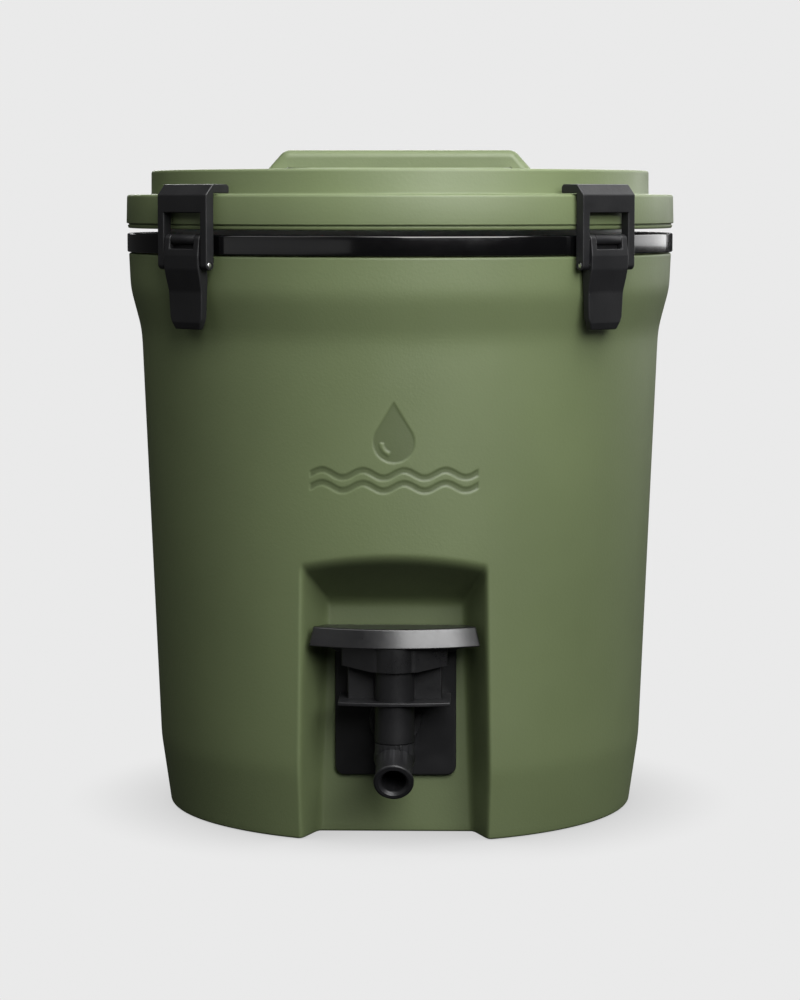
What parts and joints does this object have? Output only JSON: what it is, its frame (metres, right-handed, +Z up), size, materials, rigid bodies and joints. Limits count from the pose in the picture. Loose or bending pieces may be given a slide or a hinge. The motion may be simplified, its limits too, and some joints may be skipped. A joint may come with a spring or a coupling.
{
  "type": "water jug",
  "caption": "Round insulated water jug with a press tap in a front recess, a hook-latched lift-off lid and a bridge carry handle.",
  "frame": {"origin": "centre of the base, on the surface the jug stands on", "axes": "+Z up along the jug's axis; the tap faces -Y; +X is to the right seen from the front"},
  "size_m": [0.2998, 0.301, 0.359],
  "materials": {
    "green_shell": "fine matt texture, olive green",
    "black_gloss": "glossy black",
    "black_satin": "satin black moulding",
    "liner_white": "smooth off-white",
    "foam": "rigid cellular foam",
    "rubber": "soft matt seal",
    "steel": "turned stainless"
  },
  "bodies": {
    "jug": {"outer_shell": "green_shell", "base_plug": "black_satin", "inner_tank": "liner_white", "foam_core": "foam", "collar_band": "black_gloss", "tap_plate": "black_satin", "tap_body": "black_satin", "return_spring": "steel", "spout": "black_satin", "spout_seal": "rubber", "inlet_gasket": "rubber", "retaining_nut": "black_satin", "latch_bracket_front_right": "black_satin", "hinge_pin_front_right": "steel", "latch_bracket_rear_right": "black_satin", "hinge_pin_rear_right": "steel", "latch_bracket_rear_left": "black_satin", "hinge_pin_rear_left": "steel", "latch_bracket_front_left": "black_satin", "hinge_pin_front_left": "steel"},
    "lid": {"lid_shell": "green_shell", "lid_liner": "liner_white", "lid_foam": "foam", "lid_gasket": "rubber", "carry_handle": "green_shell", "handle_screw_left": "steel", "handle_screw_right": "steel"},
    "tap_button": {"paddle": "black_satin", "valve_stem": "steel", "valve_seal": "rubber"},
    "lever_front_right": {"latch_lever_front_right": "black_satin"},
    "hook_front_right": {"latch_hook_front_right": "black_satin", "bail_pin_front_right": "steel"},
    "lever_rear_right": {"latch_lever_rear_right": "black_satin"},
    "hook_rear_right": {"latch_hook_rear_right": "black_satin", "bail_pin_rear_right": "steel"},
    "lever_rear_left": {"latch_lever_rear_left": "black_satin"},
    "hook_rear_left": {"latch_hook_rear_left": "black_satin", "bail_pin_rear_left": "steel"},
    "lever_front_left": {"latch_lever_front_left": "black_satin"},
    "hook_front_left": {"latch_hook_front_left": "black_satin", "bail_pin_front_left": "steel"}
  },
  "joints": [
    {"name": "lid_lift", "type": "slide", "parent": "jug", "child": "lid", "axis": [0, 0, 1], "range_m": [0, 0.025]},
    {"name": "tap_press", "type": "slide", "parent": "jug", "child": "tap_button", "axis": [0, 0, -1], "range_m": [0, 0.005], "stiffness_N_per_m": 1000, "springref_m": -0.005, "deforming": ["return_spring"]},
    {"name": "lever_turn_front_right", "type": "hinge", "parent": "jug", "child": "lever_front_right", "pos_m": [0.10808, -0.10808, 0.3117], "axis": [0.7071, 0.7071, 0], "range_deg": [-150, 0]},
    {"name": "hook_swing_front_right", "type": "hinge", "parent": "jug", "child": "hook_front_right", "pos_m": [0.10808, -0.10808, 0.2987], "axis": [0.7071, 0.7071, 0], "range_deg": [0, 149]},
    {"name": "lever_turn_rear_right", "type": "hinge", "parent": "jug", "child": "lever_rear_right", "pos_m": [0.10808, 0.10808, 0.3117], "axis": [-0.7071, 0.7071, 0], "range_deg": [-150, 0]},
    {"name": "hook_swing_rear_right", "type": "hinge", "parent": "jug", "child": "hook_rear_right", "pos_m": [0.10808, 0.10808, 0.2987], "axis": [-0.7071, 0.7071, 0], "range_deg": [0, 149]},
    {"name": "lever_turn_rear_left", "type": "hinge", "parent": "jug", "child": "lever_rear_left", "pos_m": [-0.10808, 0.10808, 0.3117], "axis": [-0.7071, -0.7071, 0], "range_deg": [-150, 0]},
    {"name": "hook_swing_rear_left", "type": "hinge", "parent": "jug", "child": "hook_rear_left", "pos_m": [-0.10808, 0.10808, 0.2987], "axis": [-0.7071, -0.7071, 0], "range_deg": [0, 149]},
    {"name": "lever_turn_front_left", "type": "hinge", "parent": "jug", "child": "lever_front_left", "pos_m": [-0.10808, -0.10808, 0.3117], "axis": [0.7071, -0.7071, 0], "range_deg": [-150, 0]},
    {"name": "hook_swing_front_left", "type": "hinge", "parent": "jug", "child": "hook_front_left", "pos_m": [-0.10808, -0.10808, 0.2987], "axis": [0.7071, -0.7071, 0], "range_deg": [0, 149]}
  ],
  "couplings": [
    {"joint": "hook_swing_front_right", "follows": "lid_lift", "rad_per_m": 103.97},
    {"joint": "hook_swing_rear_right", "follows": "lid_lift", "rad_per_m": 103.97},
    {"joint": "hook_swing_rear_left", "follows": "lid_lift", "rad_per_m": 103.97},
    {"joint": "hook_swing_front_left", "follows": "lid_lift", "rad_per_m": 103.97}
  ]
}
